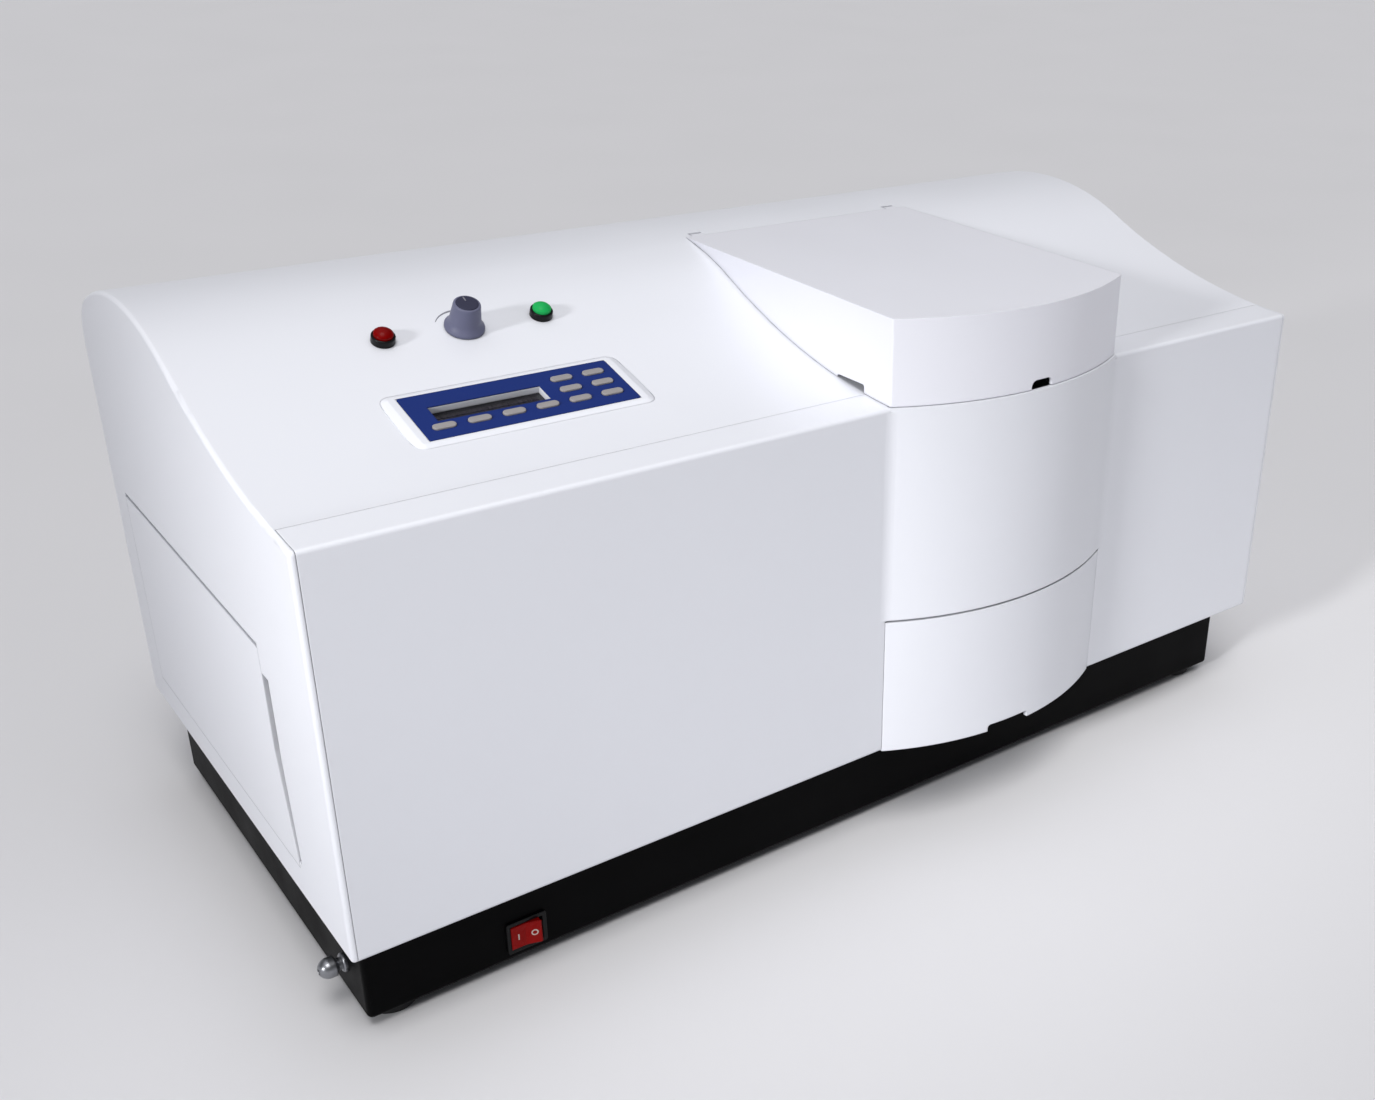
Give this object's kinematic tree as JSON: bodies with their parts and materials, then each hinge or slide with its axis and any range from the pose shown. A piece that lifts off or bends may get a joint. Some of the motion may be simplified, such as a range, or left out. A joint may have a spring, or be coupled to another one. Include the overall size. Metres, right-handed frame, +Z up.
{
  "type": "particle size analyzer",
  "caption": "Bench laser particle size analyzer: white S-curved housing on a black base, keypad and display at left, curved sample tower with lid, bath, stirrer, pump and optics inside",
  "frame": {"origin": "middle of the footprint of the whole instrument, on the bench top", "axes": "+X to the right as seen from the front, +Y to the back, +Z up; the front is the -Y side"},
  "size_m": [0.9056, 0.4844, 0.4516],
  "materials": {
    "shell_white": "white gloss paint on moulded glass-fibre resin",
    "lid_white": "white gloss paint on moulded glass-fibre resin",
    "tray_black": "black satin powder coat on folded steel",
    "bare_steel": "plated sheet steel",
    "stainless": "polished stainless steel",
    "aluminium_clear": "clear anodised",
    "aluminium_black": "black anodised",
    "rubber_black": "matt",
    "hose_rubber": "translucent silicone rubber",
    "insert_grey": "light grey moulded resin",
    "membrane_blue": "printed polyester front sheet",
    "key_grey": "fine matt",
    "knob_grey": "fine matt",
    "bezel_black": "moulded nylon",
    "cap_red": "moulded",
    "cap_green": "moulded",
    "rocker_red": "tinted translucent moulding",
    "smoked_glass": "smoked display window",
    "display_grey": "unlit display module",
    "clear_glass": "polished optical glass",
    "circuit_green": "circuit board with solder mask",
    "motor_dark": "dark enamel",
    "screw_steel": "zinc-plated",
    "nozzle_steel": "satin nickel plate"
  },
  "bodies": {
    "housing": {"base_tray": "tray_black", "rubber_feet": "rubber_black", "deck_plate": "bare_steel", "top_cover": "shell_white", "front_panel": "shell_white", "rear_panel": "shell_white", "rear_screws": "screw_steel", "fan_frame": "bezel_black", "power_inlet": "bezel_black", "hinge_pins": "stainless", "keypad_boss": "shell_white", "keypad_membrane": "membrane_blue", "keypad_board": "circuit_green", "display_window": "smoked_glass", "display_module": "display_grey", "button_bezels": "bezel_black", "potentiometer": "aluminium_clear", "switch_housing": "bezel_black", "drain_nozzle": "nozzle_steel", "chamber_insert": "insert_grey", "sample_bath": "stainless", "ultrasonic_transducer": "aluminium_clear", "stirrer_bracket": "aluminium_clear", "stirrer_motor": "motor_dark", "circulation_pump": "motor_dark", "hoses": "hose_rubber", "isolation_mounts": "rubber_black", "optical_rail": "aluminium_clear", "barrel_clamps": "aluminium_black", "laser_tube": "stainless", "beam_expander": "aluminium_black", "flow_cell_frame": "stainless", "flow_cell_windows": "clear_glass", "lens_barrel": "aluminium_black", "collecting_lens": "clear_glass", "detector_base": "aluminium_clear", "power_supply": "bare_steel", "control_board": "circuit_green"},
    "lid_assembly": {"lid": "lid_white", "lid_gasket": "rubber_black"},
    "tower_cover_body": {"tower_cover": "shell_white"},
    "side_panel_body": {"side_panel": "shell_white"},
    "red_button_body": {"red_button": "cap_red"},
    "green_button_body": {"green_button": "cap_green"},
    "speed_knob_body": {"speed_knob": "knob_grey"},
    "mains_rocker_body": {"mains_rocker": "rocker_red"},
    "stirrer_rotor_body": {"stirrer_rotor": "stainless"},
    "pump_impeller_body": {"pump_impeller": "insert_grey"},
    "fan_rotor_body": {"fan_rotor": "bezel_black"},
    "detector_carriage_body": {"detector_carriage": "aluminium_black"},
    "key_01_body": {"key_01": "key_grey"},
    "key_02_body": {"key_02": "key_grey"},
    "key_03_body": {"key_03": "key_grey"},
    "key_04_body": {"key_04": "key_grey"},
    "key_05_body": {"key_05": "key_grey"},
    "key_06_body": {"key_06": "key_grey"},
    "key_07_body": {"key_07": "key_grey"},
    "key_08_body": {"key_08": "key_grey"},
    "key_09_body": {"key_09": "key_grey"},
    "key_10_body": {"key_10": "key_grey"}
  },
  "joints": [
    {"name": "lid_hinge", "type": "hinge", "parent": "housing", "child": "lid_assembly", "pos_m": [0.111, 0.0713, 0.44637], "axis": [-1, 0, 0], "range_deg": [0, 100]},
    {"name": "tower_cover_tilt", "type": "hinge", "parent": "housing", "child": "tower_cover_body", "pos_m": [0.111, -0.2422, 0.202], "axis": [-1, 0, 0], "range_deg": [0, 20]},
    {"name": "side_panel_pull", "type": "slide", "parent": "housing", "child": "side_panel_body", "axis": [-1, 0, 0], "range_m": [0, 0.04]},
    {"name": "red_button_press", "type": "slide", "parent": "housing", "child": "red_button_body", "axis": [0, 0.4112, -0.9115], "range_m": [0, 0.003], "stiffness_N_per_m": 300},
    {"name": "green_button_press", "type": "slide", "parent": "housing", "child": "green_button_body", "axis": [0, 0.4112, -0.9115], "range_m": [0, 0.003], "stiffness_N_per_m": 300},
    {"name": "speed_knob_turn", "type": "hinge", "parent": "housing", "child": "speed_knob_body", "pos_m": [-0.2415, -0.0052, 0.42537], "axis": [0, -0.4112, 0.9115], "range_deg": [-150, 150]},
    {"name": "mains_rocker_tilt", "type": "hinge", "parent": "housing", "child": "mains_rocker_body", "pos_m": [-0.315, -0.1802, 0.03], "axis": [0, 0, 1], "range_deg": [0, 18]},
    {"name": "stirrer_spin", "type": "hinge", "parent": "housing", "child": "stirrer_rotor_body", "pos_m": [0.087, -0.1052, 0.384], "axis": [0, 0, 1], "continuous": true},
    {"name": "pump_spin", "type": "hinge", "parent": "housing", "child": "pump_impeller_body", "pos_m": [0.059, -0.1052, 0.141], "axis": [0, 0, 1], "continuous": true},
    {"name": "fan_spin", "type": "hinge", "parent": "housing", "child": "fan_rotor_body", "pos_m": [0.203, 0.2128, 0.205], "axis": [0, 1, 0], "continuous": true},
    {"name": "detector_align", "type": "slide", "parent": "housing", "child": "detector_carriage_body", "axis": [0, 1, 0], "range_m": [-0.003, 0.003]},
    {"name": "key_01_press", "type": "slide", "parent": "housing", "child": "key_01_body", "axis": [0, 0.2524, -0.9676], "range_m": [0, 0.0005], "stiffness_N_per_m": 600},
    {"name": "key_02_press", "type": "slide", "parent": "housing", "child": "key_02_body", "axis": [0, 0.2524, -0.9676], "range_m": [0, 0.0005], "stiffness_N_per_m": 600},
    {"name": "key_03_press", "type": "slide", "parent": "housing", "child": "key_03_body", "axis": [0, 0.2524, -0.9676], "range_m": [0, 0.0005], "stiffness_N_per_m": 600},
    {"name": "key_04_press", "type": "slide", "parent": "housing", "child": "key_04_body", "axis": [0, 0.2524, -0.9676], "range_m": [0, 0.0005], "stiffness_N_per_m": 600},
    {"name": "key_05_press", "type": "slide", "parent": "housing", "child": "key_05_body", "axis": [0, 0.2524, -0.9676], "range_m": [0, 0.0005], "stiffness_N_per_m": 600},
    {"name": "key_06_press", "type": "slide", "parent": "housing", "child": "key_06_body", "axis": [0, 0.2524, -0.9676], "range_m": [0, 0.0005], "stiffness_N_per_m": 600},
    {"name": "key_07_press", "type": "slide", "parent": "housing", "child": "key_07_body", "axis": [0, 0.2524, -0.9676], "range_m": [0, 0.0005], "stiffness_N_per_m": 600},
    {"name": "key_08_press", "type": "slide", "parent": "housing", "child": "key_08_body", "axis": [0, 0.2524, -0.9676], "range_m": [0, 0.0005], "stiffness_N_per_m": 600},
    {"name": "key_09_press", "type": "slide", "parent": "housing", "child": "key_09_body", "axis": [0, 0.2524, -0.9676], "range_m": [0, 0.0005], "stiffness_N_per_m": 600},
    {"name": "key_10_press", "type": "slide", "parent": "housing", "child": "key_10_body", "axis": [0, 0.2524, -0.9676], "range_m": [0, 0.0005], "stiffness_N_per_m": 600}
  ]
}
